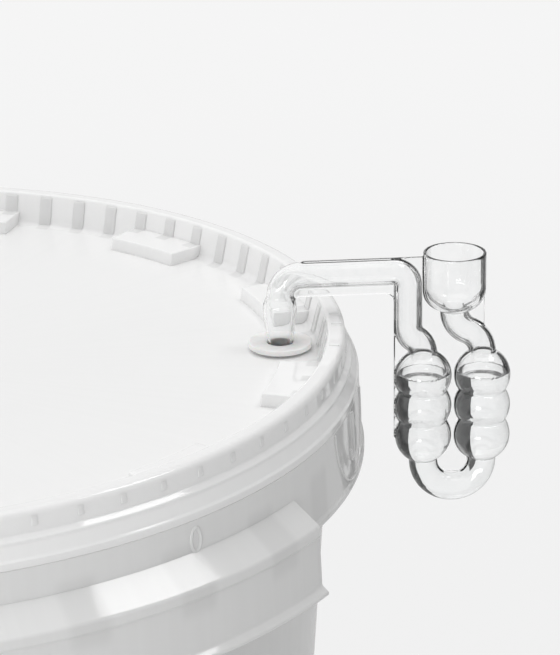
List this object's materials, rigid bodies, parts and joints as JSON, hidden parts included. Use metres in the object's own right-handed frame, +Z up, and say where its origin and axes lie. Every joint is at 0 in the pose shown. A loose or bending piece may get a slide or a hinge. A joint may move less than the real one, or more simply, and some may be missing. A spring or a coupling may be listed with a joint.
{
  "type": "fermenting bucket with airlock",
  "caption": "Milky plastic fermenting bucket with a clip-on lid, a carrying handle and a clear bulb-type water-seal airlock in a rubber grommet.",
  "frame": {"origin": "centre of the bucket's flat base, on the surface it stands on", "axes": "+Z up along the bucket's axis, +X towards the airlock, which hangs over the rim on that side"},
  "size_m": [0.4512, 0.4393, 0.402],
  "materials": {
    "bucket": "satin",
    "lid": "satin",
    "seal_rubber": "matte",
    "grommet_rubber": "matte",
    "clear_plastic": "clear gloss",
    "water": "clear liquid",
    "wire": "galvanised",
    "grip": "satin"
  },
  "bodies": {
    "bucket": {"bucket": "bucket"},
    "lid": {"lid": "lid", "lid_seal": "seal_rubber"},
    "grommet": {"grommet": "grommet_rubber"},
    "airlock": {"airlock": "clear_plastic", "sealing_water": "water"},
    "handle": {"handle_wire": "wire"},
    "grip": {"handle_grip": "grip"}
  },
  "joints": [
    {"name": "lid_lift", "type": "slide", "parent": "bucket", "child": "lid", "axis": [0, 0, 1], "range_m": [0, 0.4]},
    {"name": "grommet_pull", "type": "slide", "parent": "lid", "child": "grommet", "axis": [0, 0, 1], "range_m": [0, 0.04]},
    {"name": "airlock_swivel", "type": "hinge", "parent": "grommet", "child": "airlock", "pos_m": [0.1653, 0.0127, 0.3665], "axis": [0, 0, 1], "range_deg": [-35, 30]},
    {"name": "handle_swing", "type": "hinge", "parent": "bucket", "child": "handle", "pos_m": [0, 0, 0.3316], "axis": [0.0349, 0.9994, 0], "range_deg": [0, 175]},
    {"name": "grip_spin", "type": "hinge", "parent": "handle", "child": "grip", "pos_m": [-0.18339, 0.0064, 0.16181], "axis": [0.0349, 0.9994, 0], "continuous": true}
  ]
}
